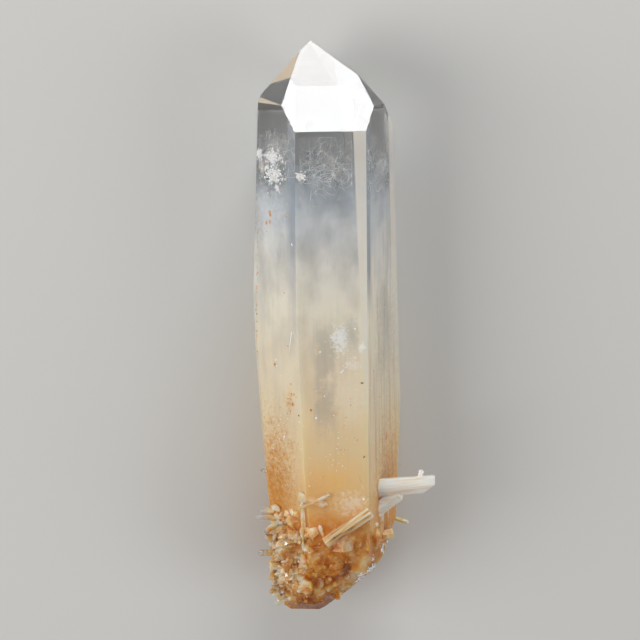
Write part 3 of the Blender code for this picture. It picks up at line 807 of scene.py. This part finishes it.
# Thicker grains of the same iron, which let no light through: dull dark brown
brown_look = inclusion("brown_iron_specks", "#5c2c10", "#94501e", 0.5, grain=0.8)
chance = np.random.default_rng(11)
white_rows = inside_faces(WHITE_MARKS + scatter(chance, WHITE_CLOUDS))
orange_rows = inside_faces(ORANGE_MARKS + scatter(chance, ORANGE_CLOUDS) + edge_marks(chance))
brown_rows = BROWN_MARKS + scatter(chance, BROWN_CLOUDS)
marks("crack_flakes", white_look, white_rows, 12, 0.12)
marks("orange_specks", orange_look, orange_rows, 13, 0.2)
marks("brown_specks", brown_look, brown_rows, 14, 0.2)

# Fine druse on the root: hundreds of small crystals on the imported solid's own crystals

druse_look = golden_druse()


def root_weight(centres, normals):
    """How thickly the druse grows: on the root alone, thickest at its left, and not underneath."""
    right, along, front = centres.T
    low = span(-along, 46.0, 54.0)
    left = 0.015 + span(-right, 4.0, 11.0) * span(along - right, -62.0, -56.0)
    bare = (along < -69.0) | (right < -12.3) | (front > 12.5) | (front < -15.0)
    return low * left * (normals[:, 2] > -0.5) * ~bare


def druse(name, count, seed, radius, height):
    """Small six-sided crystals standing out of the root, each sunk a little into what it grows on."""
    centres, normals, chance = surface_points(count, seed, root_weight, -44.0)
    ways = unit(normals + chance.normal(size=normals.shape) * 0.3 + (-0.35, -0.3, 0.0))
    across = chance.uniform(*radius, (count, 1))
    tall = across * chance.uniform(*height, (count, 1))
    sizes = np.concatenate([across, across, tall], axis=1)
    sunk = centres - ways * across * 0.5
    points, faces = repeat(CRYSTAL_POINTS, CRYSTAL_FACES, sunk, frames(ways, chance), sizes)
    place_piece(name, points, faces, druse_look, smooth=False)


druse("root_druse", 250, 6, (0.22, 0.66), (1.4, 3.0))

# Stain and painted glints on the root


def stained(centres, normals):
    """How thickly the stain specks and the painted glints lie on the root."""
    return span(-centres[:, 1], 44.0, 50.0) * (normals[:, 2] > 0.0)


def flat_grains(name, look, count, seed, weight, below, small, large, shape, uneven):
    """Grains on the solid, thick where weight says and below a place, flat against what they lie on."""
    centres, normals, chance = surface_points(count, seed, weight, below)
    sizes = chance.uniform(small, large, (count, 1)) * shape
    axes = frames(normals, chance)
    points, faces = repeat(GRAIN_POINTS, GRAIN_FACES, centres, axes, sizes, uneven, chance)
    place_piece(name, points, faces, look, smooth=False)


# The small white grains among these are painted glints: bright specks that stand in for light caught by the
# root's facets
for name, look, count, seed, small, large in (
        ("root_orange_specks", orange_look, 140, 15, 0.07, 0.24),
        ("root_painted_glints", white_look, 110, 17, 0.05, 0.15),
        ("root_brown_specks", brown_look, 30, 16, 0.08, 0.26)):
    flat_grains(name, look, count, seed, stained, -40.0, small, large, (1.0, 1.0, 0.35), 0.35)

# Splinters along the broken lower right edge. Its ends are in the camera's frame, in millimetres right and
# up of the crystal's own origin.
RIM_START = np.array((16.6, -56.4))
RIM_END = np.array((9.6, -65.6))
RIM_WIDTH = 1.1
TO_VIEW = np.array(LOOKING)


def rim(centres, normals):
    """How thickly the splinters lie: near the edge's line in the photo's view, where the stone turns."""
    seen = (centres @ TO_VIEW.T)[:, :2] - RIM_START
    way = RIM_END - RIM_START
    share = np.clip(seen @ way / (way @ way), 0.0, 1.0)
    away = np.linalg.norm(seen - share[:, None] * way, axis=1)
    turned = normals @ TO_VIEW[2]
    return np.exp(-(away / RIM_WIDTH) ** 2) * (turned > -0.1) * (turned < 0.6)


# Fresh chips where the stone broke off its bed: tiny clean faces, white with a cool tinge
splinter_look = inclusion("fresh_chips", "#dfeaf0", "#ffffff", 0.3, grain=1.0)
flat_grains("rim_splinters", splinter_look, 70, 18, rim, -54.0, 0.15, 0.5, (1.0, 1.5, 0.3), 0.4)

# Long cracks in the front face: across and along at each end, and how far the middle bows, in millimetres
CRACK_ENDS = np.array([
    [(-3.8, -14.6), (0.8, -15.0)], [(-1.6, -10.2), (0.8, -14.0)], [(-2.8, -24.5), (-2.4, -17.0)],
    [(7.6, -36.0), (9.2, -41.0)], [(0.4, -26.0), (0.3, -22.0)]])
CRACK_BOWS = np.array([[0.5], [-0.3], [0.1], [0.2], [0.0]])
CRACK_RADIUS = 0.05


def front_cracks():
    """Bowed threads in the front face: start + share * (end - start), and bow * sin(pi * share) upwards."""
    share = np.linspace(0.0, 1.0, HAIR_STEPS)
    way = CRACK_ENDS[:, :1] + (CRACK_ENDS[:, 1:] - CRACK_ENDS[:, :1]) * share[None, :, None]
    paths = on_face(0, way[..., 0], way[..., 1] + CRACK_BOWS * np.sin(math.pi * share), -HAIR_DEPTH)
    thin = np.sin(np.linspace(0.1, math.pi - 0.1, HAIR_STEPS)) ** 0.5
    points, faces = threads(paths, np.tile(CRACK_RADIUS * thin, (len(CRACK_ENDS), 1)))
    place_piece("front_cracks", points, faces, hair_look)


front_cracks()

# Studio

FLOOR_SIZE = 6.0
# The floor lies this far under the crystal, so that the two faces don't lie in one plane
FLOOR_GAP = 0.0001
bpy.ops.mesh.primitive_plane_add(size=FLOOR_SIZE, location=(0.0, 0.0, -FLOOR_GAP))
floor = bpy.context.object
floor.name = "studio_floor"
floor.data.materials.append(studio_paper())

# Camera: it looks at the crystal's own origin from the photo's side
VIEW_DISTANCE = 0.735
SENSOR_WIDTH = 36.0
LENS = 168.75
camera = bpy.data.objects.new("camera", bpy.data.cameras.new("camera"))
camera.data.sensor_width = SENSOR_WIDTH
camera.data.lens = LENS
camera.data.clip_start = 0.01
camera.matrix_world = (Matrix.Translation(AXIS_PLACE * MM) @ LOOKING.transposed().to_4x4()
                       @ Matrix.Translation((0.0, 0.0, VIEW_DISTANCE)))
bpy.context.scene.collection.objects.link(camera)
bpy.context.scene.camera = camera


def softbox(name, way, distance, width, height, radiance):
    """A white softbox that faces the crystal from one direction; its power is radiance * pi * its area."""
    way = Vector(way).normalized()
    lamp = bpy.data.lights.new(name, "AREA")
    lamp.shape = "RECTANGLE"
    lamp.size = width
    lamp.size_y = height
    lamp.energy = radiance * math.pi * width * height
    made = bpy.data.objects.new(name, lamp)
    turned = way.to_track_quat("Z", "Y").to_matrix().to_4x4()
    made.matrix_world = Matrix.Translation(way * distance) @ turned
    bpy.context.scene.collection.objects.link(made)


# The front tip face mirrors the first light into the camera, and the others light the body from its sides
softbox("tip_light", (0.107, 0.940, 0.324), 0.9, 0.36, 0.28, 17.0)
softbox("left_light", (-0.85, -0.10, 0.60), 1.2, 0.8, 0.8, 4.2)
softbox("right_light", (0.85, -0.30, 0.55), 1.2, 0.7, 0.7, 2.3)

WORLD_STRENGTH = 0.2
world = bpy.data.worlds.new("studio_air")
bpy.context.scene.world = world
world.use_nodes = True
world.node_tree.nodes["Background"].inputs["Color"].default_value = grey(1.0)
world.node_tree.nodes["Background"].inputs["Strength"].default_value = WORLD_STRENGTH

# Light has to pass through many glass faces and sheets of milk
scene = bpy.context.scene
scene.view_settings.view_transform = "Standard"
scene.cycles.max_bounces = 24
scene.cycles.transmission_bounces = 20
scene.cycles.transparent_max_bounces = 48
